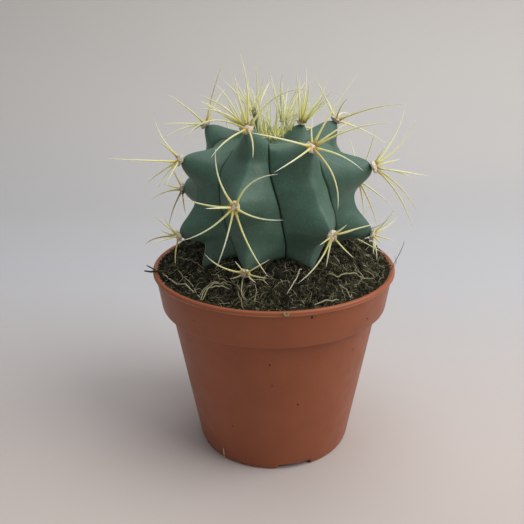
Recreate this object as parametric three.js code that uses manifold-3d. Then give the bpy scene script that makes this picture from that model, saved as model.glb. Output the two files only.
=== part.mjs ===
// A young eight-ribbed barrel cactus in a tapered nursery pot.
// Millimetres, +Z up. The origin is on the ground under the middle of the pot, and the front is -Y.
import * as THREE from 'three';
import { mergeVertices } from 'three/addons/utils/BufferGeometryUtils.js';
import Module from 'manifold-3d';

const wasm = await Module();
wasm.setup();

// Driving dimensions
const GAP = 0.3;                 // clearance between pieces that touch
const DEG = Math.PI / 180;

const POT_HEIGHT = 83.5;
const POT_BASE_RADIUS = 34.6;
const POT_WALL_TOP_RADIUS = 45.5; // outside of the tapered wall, just under the rim band
const BAND_HEIGHT = 16;
const BAND_BOTTOM_RADIUS = 49.4;
const BAND_TOP_RADIUS = 51.4;
const LIP_RADIUS = 52.5;
const LIP_HEIGHT = 2.2;
const WALL = 1.3;
const FOOT_HEIGHT = 2;           // the floor stands this far above the ground on its foot ring
const FOOT_WIDTH = 3.4;
const POT_SIDES = 48;
const NOTCH_COUNT = 4;
const NOTCH_WIDTH = 15;
const NOTCH_AZIMUTH = 15;        // degrees to the right of the front
const DRAIN_COUNT = 6;
const DRAIN_RADIUS = 2.6;
const DRAIN_CIRCLE = 21;

const SOIL_EDGE_HEIGHT = 82.2;
const SOIL_MOUND_HEIGHT = 93;
const SOIL_MOUND_RADIUS = 26;

const RIBS = 8;
const STEM_CENTRE_HEIGHT = 112;  // middle of the globe
const CREST_RADIUS = 34.5;       // half the stem's width over the rib crests, between the areoles
const GROOVE_RADIUS = 29.5;
const STEM_TOP = 27.5;           // globe's middle to the crest line over the crown
const STEM_BOTTOM = 31;
const CROWN_DIP = 2.5;
const TUBERCLE_SINK = 1.5;       // the skin under an areole lies this far inside its listed distance
const TUBERCLE_WIDTH = 6.4;
const UPPER_FLANK = 1.3;         // a tubercle's slopes above, below and beside it, in tubercle widths
const LOWER_FLANK = 0.95;
const SIDE_FLANK = 1.45;
const OLD_PINCH = 0.6;           // how much the lowest tubercles narrow, for each radian below OLD_ELEVATION
const OLD_ELEVATION = -0.15;     // radians
const GROOVE_LEAN = -9;          // degrees a groove turns for each radian of elevation
const GROOVE_SWAY = 0.03;        // how far a tubercle pushes its grooves aside, in rib widths
const SWAY_HEIGHT = 9;
const CREST_SHARPNESS = 1.3;
const COLUMNS_PER_RIB = 8;
const ROW_STEP = 6;              // degrees between the mesh's rows, away from the areoles
const LEAST_ROW_STEP = 1.5;

const FIRST_AZIMUTH = -19.5;     // areole 0, degrees to the right of the front
const DIVERGENCE = 135.3;        // degrees from one areole to the next
const PAD_RADIUS = 2.8;
const PAD_THICKNESS = 1.5;       // half the depth of the pad's lens shape
const SPINE_RADIUS = 0.5;
const SPINE_BEND = 0.18;         // how far a tip curves back, as a share of the spine's length
const USUAL_BOW = 0.12;          // spread of the sideways bow of the spines that have none listed
const SPINE_STEPS = 3;

// The areoles, oldest first: number, height and distance from the pot's axis.
const AREOLES = [
  [-9, 91, 39], [-8, 92.5, 38], [-7, 97, 42], [-6, 100.5, 43.5], [-5, 102.3, 43.8], [-4, 104.5, 43.5],
  [-3, 107.5, 43], [-2, 113, 43.5], [-1, 115.5, 43], [0, 119.5, 43.5], [1, 124, 43], [2, 128.5, 43],
  [3, 132, 41], [4, 136, 38.5], [5, 139.5, 35.5], [6, 141.5, 31], [7, 143, 29], [8, 145.5, 30],
  [9, 144.5, 22], [10, 144, 13.5], [11, 142.5, 14], [12, 142, 12.5],
];
// The oldest tubercles, half buried and without areoles.
const BURIED = [[-13, 89, 37], [-11, 88.5, 32.5]];
// Degrees by which a few areoles stand off the regular spiral.
const OFF_SPIRAL = { '-13': 8, '-3': 5, '6': 3, '7': -3, '8': 3 };

// Spines of the areoles on the front and the sides: clock angle seen from outside (0 is up,
// 90 is to the right), lean away from the areole's outward direction, length, and for an arched
// spine how far its middle bows clockwise, as a share of the length.
const SPINES = {
  '-8': [[-45, 70, 19, -0.09], [-8, 65, 11], [43, 70, 20], [78, 65, 11], [112, 55, 6], [-104, 60, 7]],
  '-6': [[59, 55, 18], [108, 45, 17], [-88, 45, 10], [-125, 60, 10], [-150, 50, 12], [10, 60, 15]],
  '-5': [[-65, 65, 16, 0.08], [-80, 55, 11], [-108, 55, 26, 0.06], [61, 30, 19], [170, 55, 13],
    [20, 60, 14]],
  '-3': [[77, 65, 19, -0.04], [66, 50, 10], [137, 65, 14], [-156, 60, 13], [-130, 70, 24, -0.06],
    [-99, 60, 9], [32, 50, 8]],
  '-2': [[92, 65, 21], [62, 40, 11], [162, 65, 19], [-150, 70, 18], [10, 60, 16], [-70, 60, 20]],
  '0': [[-15, 65, 24, -0.08], [53, 65, 25, -0.13], [95, 65, 23, 0.06], [142, 65, 31, 0.03],
    [-171, 65, 24, -0.04], [-126, 65, 25, -0.08], [-81, 65, 22, -0.05], [-88, 20, 16]],
  '2': [[45, 50, 34, 0.05], [50, 35, 29, 0.08], [99, 52, 18], [128, 43, 30], [137, 45, 22],
    [168, 70, 32, -0.08], [155, 63, 29, -0.05]],
  '3': [[-150, 20, 35], [-50, 45, 23, -0.06], [-80, 55, 18, 0.05], [-141, 65, 20], [175, 62, 15],
    [144, 65, 17]],
  '5': [[-81, 65, 29], [-119, 65, 26], [-179, 70, 29, -0.1], [135, 65, 22, -0.06],
    [95, 45, 33, -0.05], [67, 65, 21], [43, 50, 34, -0.03], [12, 65, 12]],
  '6': [[120, 65, 22], [76, 45, 30], [15, 60, 30], [100, 60, 26], [-150, 65, 20], [-60, 60, 24, 0.1]],
  '7': [[5, 60, 24, 0.1], [-118, 40, 34], [178, 65, 33], [-60, 60, 20], [90, 60, 25, -0.07],
    [130, 55, 26, -0.1]],
  '8': [[-121, 65, 25, 0.25], [-159, 65, 22], [-75, 50, 25, 0.06], [-83, 63, 23, 0.09],
    [-12, 40, 31], [-24, 24, 22], [155, 65, 21], [64, 60, 29, -0.17]],
};
const RADIAL_SPINES = 7;         // on every other areole, with one more in the middle
const CROWN_SPINES = 22;
const CROWN_RADIUS = 6.5;

// Pieces lying on the soil: azimuth, distance from the axis of each point along them, and thickness.
const ROOT_FIBRES = {
  root_fibre_1: { radius: 0.45, path: [[-78, 44], [-62, 43], [-50, 45], [-38, 48]] },
  root_fibre_2: { radius: 0.45, path: [[-44, 38], [-33, 39], [-24, 44], [-12, 47]] },
  root_fibre_3: { radius: 0.4, path: [[12, 36], [10, 41], [4, 46]] },
  root_fibre_4: { radius: 0.45, path: [[38, 38], [52, 42], [66, 47]] },
};
const TWIG = { radius: 0.9, path: [[-82, 45], [-83, 50], [-84, 56]] };
const RIM_REACH = 48;            // pieces farther out than this rest on the pot's rim

const materials = {
  pot: new THREE.MeshStandardMaterial({ color: 0x8c4f36, roughness: 0.45, metalness: 0 }),
  soil: new THREE.MeshStandardMaterial({ color: 0x2e2820, roughness: 0.95, metalness: 0 }),
  stem: new THREE.MeshStandardMaterial({ color: 0x3f6b5a, roughness: 0.55, metalness: 0 }),
  spine: new THREE.MeshStandardMaterial({ color: 0xd8cf86, roughness: 0.5, metalness: 0 }),
  fibre: new THREE.MeshStandardMaterial({ color: 0x8d8560, roughness: 0.9, metalness: 0 }),
};

const group = new THREE.Group();

function addMesh(name, geometry, material) {
  const mesh = new THREE.Mesh(geometry, material);
  mesh.name = name;
  group.add(mesh);
  return mesh;
}

// A closed geometry as a solid that can be cut and joined.
function solidOf(geometry) {
  const bare = geometry.clone();
  bare.deleteAttribute('normal');
  bare.deleteAttribute('uv');
  const merged = mergeVertices(bare, 1e-4);
  return new wasm.Manifold(new wasm.Mesh({
    numProp: 3,
    vertProperties: new Float32Array(merged.attributes.position.array),
    triVerts: new Uint32Array(merged.index.array),
  }));
}

function geometryOf(solid) {
  const mesh = solid.getMesh();
  const geometry = new THREE.BufferGeometry();
  geometry.setAttribute('position', new THREE.BufferAttribute(mesh.vertProperties, 3));
  geometry.setIndex(new THREE.BufferAttribute(mesh.triVerts, 1));
  geometry.computeVertexNormals();
  return geometry;
}

// A repeatable value from 0 to 1 for a pair of whole numbers.
function scatter(a, b) {
  const value = Math.sin(a * 12.9898 + b * 78.233) * 43758.5453;
  return value - Math.floor(value);
}

// The direction away from the axis at an azimuth in degrees, 0 at the front and growing to the right.
function outward(azimuth) {
  return new THREE.Vector3(Math.sin(azimuth * DEG), -Math.cos(azimuth * DEG), 0);
}

// A closed mesh of rings, each a list of points in the same order, and a point at each end.
function loft(start, rings, end) {
  const sides = rings[0].length;
  const points = [start, ...rings.flat(), end];
  const indices = [];
  const at = (ring, side) => 1 + ring * sides + (side % sides);
  for (let side = 0; side < sides; side += 1) {
    indices.push(0, at(0, side + 1), at(0, side));
    indices.push(points.length - 1, at(rings.length - 1, side), at(rings.length - 1, side + 1));
    for (let ring = 0; ring + 1 < rings.length; ring += 1) {
      indices.push(at(ring, side), at(ring, side + 1), at(ring + 1, side));
      indices.push(at(ring + 1, side), at(ring, side + 1), at(ring + 1, side + 1));
    }
  }
  const geometry = new THREE.BufferGeometry();
  geometry.setAttribute('position', new THREE.Float32BufferAttribute(points.flatMap((p) => p.toArray()), 3));
  geometry.setIndex(indices);
  geometry.computeVertexNormals();
  return geometry;
}

// A thin rod along a list of points, its radius at each one, closed by a point past each end.
function rod(path, radii, sides = 3) {
  const rings = path.map((centre, step) => {
    const before = path[Math.max(step - 1, 0)];
    const after = path[Math.min(step + 1, path.length - 1)];
    const along = after.clone().sub(before).normalize();
    const helper = Math.abs(along.z) > 0.9 ? new THREE.Vector3(1, 0, 0) : new THREE.Vector3(0, 0, 1);
    const across = new THREE.Vector3().crossVectors(along, helper).normalize();
    const other = new THREE.Vector3().crossVectors(along, across);
    return Array.from({ length: sides }, (_, side) => {
      const turn = (side / sides) * 2 * Math.PI;
      return centre.clone()
        .addScaledVector(across, radii[step] * Math.cos(turn))
        .addScaledVector(other, radii[step] * Math.sin(turn));
    });
  });
  const beyond = (from, to, radius) => to.clone().add(to.clone().sub(from).setLength(radius));
  const last = path.length - 1;
  return loft(
    beyond(path[1], path[0], radii[0]),
    rings,
    beyond(path[last - 1], path[last], radii[last]),
  );
}

// Pot

function ringSolid(profile) {
  const outline = profile.map(([radius, height]) => new THREE.Vector2(radius, height));
  const geometry = new THREE.LatheGeometry(outline, POT_SIDES);
  geometry.rotateX(Math.PI / 2);
  return solidOf(geometry);
}

function wallRadius(height) {
  const share = height / (POT_HEIGHT - BAND_HEIGHT);
  return POT_BASE_RADIUS + share * (POT_WALL_TOP_RADIUS - POT_BASE_RADIUS);
}

const FLOOR_TOP = FOOT_HEIGHT + WALL;
const BAND_BOTTOM = POT_HEIGHT - BAND_HEIGHT;
const SHOULDER = 2.5;            // height of the rounded step from the wall out to the band

// The inside of the pot from the middle of its floor up to the rim, moved inward by a clearance.
function insideProfile(clearance) {
  const bandInside = (radius) => radius - WALL - clearance;
  return [
    [0, FLOOR_TOP + clearance],
    [bandInside(wallRadius(FLOOR_TOP)), FLOOR_TOP + clearance],
    [bandInside(POT_WALL_TOP_RADIUS), BAND_BOTTOM - 1],
    [bandInside(BAND_BOTTOM_RADIUS), BAND_BOTTOM + SHOULDER],
    [bandInside(BAND_TOP_RADIUS), SOIL_EDGE_HEIGHT - 1],
  ];
}

function makePot() {
  const outside = [
    [0, FOOT_HEIGHT],
    [POT_BASE_RADIUS - FOOT_WIDTH - 0.6, FOOT_HEIGHT],
    [POT_BASE_RADIUS - FOOT_WIDTH, 0],
    [POT_BASE_RADIUS - 0.7, 0],
    [POT_BASE_RADIUS, 0.7],
    [POT_WALL_TOP_RADIUS, BAND_BOTTOM - SHOULDER],
    [POT_WALL_TOP_RADIUS + 2.4, BAND_BOTTOM - 1.6],
    [BAND_BOTTOM_RADIUS, BAND_BOTTOM],
    [BAND_TOP_RADIUS, POT_HEIGHT - LIP_HEIGHT],
    [LIP_RADIUS, POT_HEIGHT - LIP_HEIGHT + 0.5],
    [LIP_RADIUS, POT_HEIGHT - 0.5],
    [LIP_RADIUS - 0.6, POT_HEIGHT],
    [BAND_TOP_RADIUS - WALL + 0.4, POT_HEIGHT],
  ];
  let pot = ringSolid([...outside, ...insideProfile(0).reverse()]);
  for (let notch = 0; notch < NOTCH_COUNT; notch += 1) {
    const cutter = new THREE.BoxGeometry(NOTCH_WIDTH, 3 * FOOT_WIDTH, 2 * FOOT_HEIGHT - 0.4);
    cutter.translate(0, -POT_BASE_RADIUS, 0);
    cutter.rotateZ((NOTCH_AZIMUTH + (notch * 360) / NOTCH_COUNT) * DEG);
    pot = pot.subtract(solidOf(cutter));
  }
  for (let hole = 0; hole < DRAIN_COUNT; hole += 1) {
    const cutter = new THREE.CylinderGeometry(DRAIN_RADIUS, DRAIN_RADIUS, 4 * WALL, 10);
    cutter.rotateX(Math.PI / 2);
    cutter.translate(0, -DRAIN_CIRCLE, FLOOR_TOP);
    cutter.rotateZ(((hole + 0.5) * 360 / DRAIN_COUNT) * DEG);
    pot = pot.subtract(solidOf(cutter));
  }
  return geometryOf(pot);
}

// Stem

function areoleAzimuth(number) {
  return FIRST_AZIMUTH - DIVERGENCE * number + (OFF_SPIRAL[number] ?? 0);
}

function wrapDegrees(angle) {
  return angle - 360 * Math.round(angle / 360);
}

// Distance from the globe's middle to a flattened globe's surface, at an elevation in radians.
// The top is squarer than the bottom.
function globe(elevation, radius, top, bottom) {
  const power = elevation > 0 ? 3 : 2;
  const side = Math.cos(elevation) / radius;
  const end = Math.abs(Math.sin(elevation)) / (elevation > 0 ? top : bottom);
  return (side ** power + end ** power) ** (-1 / power);
}

function crownDip(elevation) {
  const fromTop = Math.PI / 2 - elevation;
  return CROWN_DIP * Math.exp(-((fromTop / 0.35) ** 2));
}

function crestDistance(elevation) {
  return globe(elevation, CREST_RADIUS, STEM_TOP, STEM_BOTTOM) - crownDip(elevation);
}

// The grooves fade out where they meet in the middle of the crown.
function grooveDistance(elevation) {
  const crest = crestDistance(elevation);
  const groove = globe(elevation, GROOVE_RADIUS, STEM_TOP - 2.5, STEM_BOTTOM - 1.5) - crownDip(elevation);
  const fromTop = Math.PI / 2 - elevation;
  return crest - (crest - groove) * (1 - Math.exp(-((fromTop / 0.3) ** 2)));
}

// The young tubercles near the crown and the old ones near the soil are narrower.
function tubercleWidth(radius, elevation) {
  const young = Math.min(0.55 + 0.45 * (radius / CREST_RADIUS), 1);
  const old = 1 - OLD_PINCH * Math.max(OLD_ELEVATION - elevation, 0);
  return TUBERCLE_WIDTH * young * old;
}

const tubercles = [...BURIED, ...AREOLES].map(([number, height, listed]) => {
  const radius = listed - TUBERCLE_SINK;
  const up = height - STEM_CENTRE_HEIGHT;
  const elevation = Math.atan2(up, radius);
  const distance = Math.hypot(radius, up);
  return {
    rib: ((number % RIBS) + RIBS) % RIBS,
    azimuth: areoleAzimuth(number),
    elevation,
    distance,
    width: tubercleWidth(radius, elevation),
    rise: distance - crestDistance(elevation),
  };
});

// The rib crest that runs through the areoles nearest to a column, as its azimuth at an elevation.
function ribAzimuth(rib, elevation) {
  const members = tubercles.filter((tubercle) => tubercle.rib === rib);
  const centre = members[0].azimuth;
  let before = members[0];
  let after = members[members.length - 1];
  for (const member of members) {
    if (member.elevation <= elevation) before = member;
  }
  for (const member of [...members].reverse()) {
    if (member.elevation >= elevation) after = member;
  }
  const span = after.elevation - before.elevation;
  const share = span > 1e-6 ? Math.min(Math.max((elevation - before.elevation) / span, 0), 1) : 0;
  const ease = share * share * (3 - 2 * share);
  const from = wrapDegrees(before.azimuth - centre);
  const to = wrapDegrees(after.azimuth - centre);
  return centre + from + ease * (to - from);
}

// How strongly a tubercle of the rib is felt at an elevation, from 0 to 1.
function bulge(rib, elevation) {
  return Math.max(...tubercles
    .filter((tubercle) => tubercle.rib === rib)
    .map(({ elevation: own, distance }) => Math.exp(-((((elevation - own) * distance) / SWAY_HEIGHT) ** 2))));
}

// The stem's surface, grown outward by a clearance. fromCrest is 0 on a crest and 1 in a groove.
function stemPoint(azimuth, elevation, fromCrest, clearance) {
  const groove = grooveDistance(elevation);
  let distance = groove + (crestDistance(elevation) - groove) * (1 - fromCrest ** CREST_SHARPNESS);
  for (const tubercle of tubercles) {
    const along = (elevation - tubercle.elevation) * tubercle.distance;
    const across = wrapDegrees(azimuth - tubercle.azimuth) * DEG * tubercle.distance * Math.cos(elevation);
    const flank = tubercle.width * (along > 0 ? UPPER_FLANK : LOWER_FLANK);
    const away = (Math.abs(along) / flank) ** 1.7 + (Math.abs(across) / (tubercle.width * SIDE_FLANK)) ** 1.5;
    distance += tubercle.rise * Math.exp(-away);
  }
  distance += clearance;
  const point = outward(azimuth).multiplyScalar(distance * Math.cos(elevation));
  point.z = STEM_CENTRE_HEIGHT + distance * Math.sin(elevation);
  return point;
}

// Elevations of the mesh's rows: one through each areole, unless another lies close, and more between.
function stemRows() {
  const rows = [];
  const addRow = (elevation, room) => {
    if (rows.every((row) => Math.abs(row - elevation) >= room * DEG)) rows.push(elevation);
  };
  tubercles.forEach(({ elevation }) => addRow(elevation, LEAST_ROW_STEP));
  for (let elevation = ROW_STEP - 90; elevation < 90; elevation += ROW_STEP) {
    addRow(elevation * DEG, ROW_STEP / 2);
  }
  return rows.sort((a, b) => a - b);
}

function stemGeometry(clearance) {
  const ribOrder = Array.from({ length: RIBS }, (_, rib) => rib)
    .sort((a, b) => mod360(ribAzimuth(a, 0)) - mod360(ribAzimuth(b, 0)));
  const rings = stemRows().map((elevation) => ribOrder.flatMap((rib, place) => {
    const nextRib = ribOrder[(place + 1) % RIBS];
    const here = mod360(ribAzimuth(rib, elevation));
    const width = mod360(ribAzimuth(nextRib, elevation) - here);
    const sway = GROOVE_SWAY * (bulge(rib, elevation) - bulge(nextRib, elevation));
    const groovePlace = 0.5 + sway + (GROOVE_LEAN * elevation) / width;
    return Array.from({ length: COLUMNS_PER_RIB }, (_, column) => {
      const share = (2 * column) / COLUMNS_PER_RIB;
      const place = share <= 1 ? share * groovePlace : groovePlace + (share - 1) * (1 - groovePlace);
      return stemPoint(here + place * width, elevation, share <= 1 ? share : 2 - share, clearance);
    });
  }));
  return loft(stemPoint(0, -Math.PI / 2, 1, clearance), rings, stemPoint(0, Math.PI / 2, 1, clearance));
}

function mod360(angle) {
  return ((angle % 360) + 360) % 360;
}

// Soil

function soilHeight(radius) {
  const edge = BAND_TOP_RADIUS - WALL;
  const share = Math.min(Math.max((edge - radius) / (edge - SOIL_MOUND_RADIUS), 0), 1);
  return SOIL_EDGE_HEIGHT + (SOIL_MOUND_HEIGHT - SOIL_EDGE_HEIGHT) * share * share * (3 - 2 * share);
}

function makeSoil() {
  const outline = insideProfile(GAP);
  const edge = outline[outline.length - 1][0];
  for (const radius of [edge, 46, 42, 38, 34, 30, SOIL_MOUND_RADIUS]) {
    outline.push([radius, soilHeight(radius)]);
  }
  outline.push([0, SOIL_MOUND_HEIGHT]);
  return geometryOf(ringSolid(outline).subtract(solidOf(stemGeometry(GAP))));
}

// Areoles and their spines

// Where an areole sits: its place on the tubercle's tip, and the outward, upward and right directions.
function areoleFrame([number, height, radius]) {
  const away = outward(areoleAzimuth(number));
  const elevation = Math.atan2(height - STEM_CENTRE_HEIGHT, radius - TUBERCLE_SINK);
  const place = stemPoint(areoleAzimuth(number), elevation, 0, 0);
  const out = away.clone().multiplyScalar(Math.cos(elevation));
  out.z = Math.sin(elevation);
  const up = away.clone().multiplyScalar(-Math.sin(elevation));
  up.z = Math.cos(elevation);
  return { place, out, up, right: new THREE.Vector3().crossVectors(up, out) };
}

function spineSolid({ place, out, up, right }, [clock, lean, length, listedBow]) {
  const heading = out.clone().multiplyScalar(Math.cos(lean * DEG))
    .addScaledVector(up, Math.sin(lean * DEG) * Math.cos(clock * DEG))
    .addScaledVector(right, Math.sin(lean * DEG) * Math.sin(clock * DEG));
  const clockwise = right.clone().multiplyScalar(Math.cos(clock * DEG))
    .addScaledVector(up, -Math.sin(clock * DEG));
  const bow = listedBow ?? USUAL_BOW * (scatter(clock, length) - 0.5);
  const root = place.clone().addScaledVector(out, GAP + PAD_THICKNESS);
  const path = [];
  const radii = [];
  for (let step = 0; step < SPINE_STEPS; step += 1) {
    const share = step / SPINE_STEPS;
    const point = root.clone()
      .addScaledVector(heading, length * share)
      .addScaledVector(out, -SPINE_BEND * length * share * share)
      .addScaledVector(clockwise, 4 * bow * length * share * (1 - share));
    path.push(point);
    radii.push(SPINE_RADIUS * (1 - 0.8 * share));
  }
  const tip = root.clone().addScaledVector(heading, length).addScaledVector(out, -SPINE_BEND * length);
  return solidOf(spike(path, radii, tip));
}

// A rod that ends in a point.
function spike(path, radii, tip) {
  const along = tip.clone().sub(path[0]).normalize();
  const helper = Math.abs(along.z) > 0.9 ? new THREE.Vector3(1, 0, 0) : new THREE.Vector3(0, 0, 1);
  const across = new THREE.Vector3().crossVectors(along, helper).normalize();
  const other = new THREE.Vector3().crossVectors(along, across);
  const rings = path.map((centre, step) => [0, 1, 2].map((side) => {
    const turn = (side / 3) * 2 * Math.PI;
    return centre.clone()
      .addScaledVector(across, radii[step] * Math.cos(turn))
      .addScaledVector(other, radii[step] * Math.sin(turn));
  }));
  return loft(path[0], rings, tip);
}

function padSolid({ place, out }) {
  const pad = new THREE.SphereGeometry(PAD_RADIUS, 8, 5);
  pad.scale(1, PAD_THICKNESS / PAD_RADIUS, 1);
  pad.applyQuaternion(new THREE.Quaternion().setFromUnitVectors(new THREE.Vector3(0, 1, 0), out));
  const centre = place.clone().addScaledVector(out, GAP + PAD_THICKNESS);
  pad.translate(centre.x, centre.y, centre.z);
  return solidOf(pad);
}

// A ring of spines and one in the middle, for an areole without a list of its own. The lower
// spines are short where the soil is close.
function usualSpines([number, height, radius]) {
  const young = number >= 9;
  const spines = [];
  for (let place = 0; place < RADIAL_SPINES; place += 1) {
    const clock = (place * 360) / RADIAL_SPINES + 25 * (scatter(number, place) - 0.5);
    const lean = young ? 18 + 14 * scatter(number, place + 20) : 60 + 10 * scatter(number, place + 20);
    const room = Math.cos(clock * DEG) < -0.2 ? 0.8 * (height - soilHeight(radius) - 1.5) : Infinity;
    spines.push([clock, lean, Math.min(20 + 7 * scatter(number, place + 40), room)]);
  }
  spines.push([30, 8, 20]);
  return spines;
}

function addSpineClusters() {
  AREOLES.forEach((areole, place) => {
    const frame = areoleFrame(areole);
    let cluster = padSolid(frame);
    for (const spine of SPINES[areole[0]] ?? usualSpines(areole)) {
      cluster = cluster.add(spineSolid(frame, spine));
    }
    const name = `spine_cluster_${String(place + 1).padStart(2, '0')}`;
    addMesh(name, geometryOf(cluster), materials.spine);
  });
}

function addCrown() {
  const frame = {
    place: stemPoint(0, Math.PI / 2, 0, 0),
    out: new THREE.Vector3(0, 0, 1),
    up: new THREE.Vector3(0, 1, 0),
    right: new THREE.Vector3(1, 0, 0),
  };
  const wool = new THREE.SphereGeometry(CROWN_RADIUS, 12, 6);
  wool.scale(1, 0.25, 1);
  wool.rotateX(Math.PI / 2);
  wool.translate(0, 0, frame.place.z + 0.25 * CROWN_RADIUS);
  let crown = solidOf(wool);
  for (let place = 0; place < CROWN_SPINES; place += 1) {
    const clock = place * 137.5;
    const spread = Math.sqrt((place + 0.5) / CROWN_SPINES);
    const root = {
      ...frame,
      place: frame.place.clone()
        .addScaledVector(frame.up, 0.8 * CROWN_RADIUS * spread * Math.cos(clock * DEG))
        .addScaledVector(frame.right, 0.8 * CROWN_RADIUS * spread * Math.sin(clock * DEG)),
    };
    const length = 21 + 9 * scatter(place, 5);
    crown = crown.add(spineSolid(root, [clock, 4 + 16 * spread, length]));
  }
  crown = crown.subtract(solidOf(stemGeometry(GAP)));
  addMesh('crown_spines', geometryOf(crown), materials.spine);
}

// Root fibres and a twig lying on the soil

function fibreGeometry({ radius, path }) {
  const points = path.map(([azimuth, distance]) => {
    const point = outward(azimuth).multiplyScalar(distance);
    point.z = (distance > RIM_REACH ? POT_HEIGHT : soilHeight(distance)) + radius + 2 * GAP;
    return point;
  });
  return rod(points, points.map(() => radius));
}

addMesh('pot', makePot(), materials.pot);
addMesh('soil', makeSoil(), materials.soil);
addMesh('cactus_stem', stemGeometry(0), materials.stem);
addSpineClusters();
addCrown();
for (const [name, fibre] of Object.entries(ROOT_FIBRES)) {
  addMesh(name, fibreGeometry(fibre), materials.fibre);
}
addMesh('twig', fibreGeometry(TWIG), materials.fibre);

export default group;
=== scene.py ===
"""A young eight-ribbed barrel cactus in a tapered nursery pot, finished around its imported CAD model.

Lengths are millimetres unless a comment says otherwise. make_piece() turns them into metres. Angles are
degrees unless named otherwise, and an azimuth is measured from the front (-Y), growing to the right (+X).
"""
import itertools
import math

import bpy
import numpy as np
from mathutils import Matrix, Vector


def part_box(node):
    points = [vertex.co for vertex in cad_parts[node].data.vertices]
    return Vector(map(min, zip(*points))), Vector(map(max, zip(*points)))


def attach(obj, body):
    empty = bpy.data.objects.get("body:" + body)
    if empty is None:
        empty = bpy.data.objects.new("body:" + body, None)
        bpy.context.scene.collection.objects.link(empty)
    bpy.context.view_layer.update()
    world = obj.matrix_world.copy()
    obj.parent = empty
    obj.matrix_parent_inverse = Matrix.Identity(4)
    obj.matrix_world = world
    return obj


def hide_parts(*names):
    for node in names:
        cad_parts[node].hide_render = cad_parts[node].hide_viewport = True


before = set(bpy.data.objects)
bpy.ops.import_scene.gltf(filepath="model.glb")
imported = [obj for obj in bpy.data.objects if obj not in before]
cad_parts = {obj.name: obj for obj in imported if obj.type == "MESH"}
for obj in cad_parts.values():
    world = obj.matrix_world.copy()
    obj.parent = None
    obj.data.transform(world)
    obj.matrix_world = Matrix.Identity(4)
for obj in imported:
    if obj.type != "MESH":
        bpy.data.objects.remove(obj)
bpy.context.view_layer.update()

MM = 0.001
pot_low, pot_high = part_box("pot")

# Pot
POT_HEIGHT = pot_high.z / MM
LIP_RADIUS = pot_high.x / MM
POT_BASE_RADIUS = 34.6
POT_WALL_TOP_RADIUS = 45.5
BAND_HEIGHT = 16.0
BAND_BOTTOM_RADIUS = 49.4
BAND_TOP_RADIUS = 51.4
LIP_HEIGHT = 2.2
WALL = 1.3
FOOT_HEIGHT = 2.0
FOOT_WIDTH = 3.4
NOTCH_COUNT = 4
NOTCH_WIDTH = 15.0
NOTCH_HEIGHT = 2.5
NOTCH_AZIMUTH = 15.0
DRAIN_COUNT = 6
DRAIN_RADIUS = 2.6
DRAIN_CIRCLE = 21.0

# Soil
SOIL_EDGE_HEIGHT = 82.2
SOIL_MOUND_HEIGHT = 93.0
SOIL_MOUND_RADIUS = 26.0
SOIL_EDGE_RADIUS = BAND_TOP_RADIUS - WALL
HEAP_AZIMUTH = 170.0   # the soil is heaped higher against the rim behind the plant
HEAP_HEIGHT = 3.8
HEAP_RADIUS = 46.8
HEAP_WIDTH = 3.2

# Stem
RIBS = 8
STEM_CENTRE_HEIGHT = 112.0
CREST_RADIUS = 34.5
GROOVE_RADIUS = 29.5
STEM_TOP = 27.5
STEM_BOTTOM = 31.0
CROWN_DIP = 2.5
TUBERCLE_SINK = 1.5
TUBERCLE_WIDTH = 6.4
UPPER_FLANK = 1.3
LOWER_FLANK = 0.95
SIDE_FLANK = 1.45
OLD_PINCH = 0.6
OLD_ELEVATION = -0.15
GROOVE_LEAN = -9.0
GROOVE_SWAY = 0.014
SWAY_HEIGHT = 9.0
CREST_SHARPNESS = 1.12

# Areoles and spines
FIRST_AZIMUTH = -19.5
DIVERGENCE = 135.3
PAD_RADIUS = 2.2
PAD_THICKNESS = 1.3
ROOT_RING = 1.0       # how far from an areole's middle its spines stand
SPINE_RADIUS = 0.39
SPINE_BEND = 0.18
USUAL_BOW = 0.12
CROWN_SPINES = 54
CROWN_PLACE = np.array([0.6, 0, 0])
CROWN_RADIUS = 8.5

# The areoles, oldest first: number, height and distance from the pot's axis.
AREOLES = [
    (-9, 91, 39), (-8, 92.5, 38), (-7, 97, 42), (-6, 100.5, 43.5), (-5, 102.3, 43.8), (-4, 104.5, 43.5),
    (-3, 107.5, 43), (-2, 113, 43.5), (-1, 115.5, 43), (0, 119.5, 43.5), (1, 124, 43), (2, 128.5, 43),
    (3, 132, 41), (4, 136, 38.5), (5, 139.5, 35.5), (6, 141.5, 31), (7, 143, 29), (8, 145.5, 30),
    (9, 144.5, 22), (10, 144, 13.5), (11, 142.5, 14), (12, 142, 12.5),
]
BURIED = [(-13, 89, 37), (-11, 88.5, 32.5)]   # old tubercles without areoles, half under the soil
OFF_SPIRAL = {-13: 8, -3: 5, 6: 3, 7: -3, 8: 3}

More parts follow.
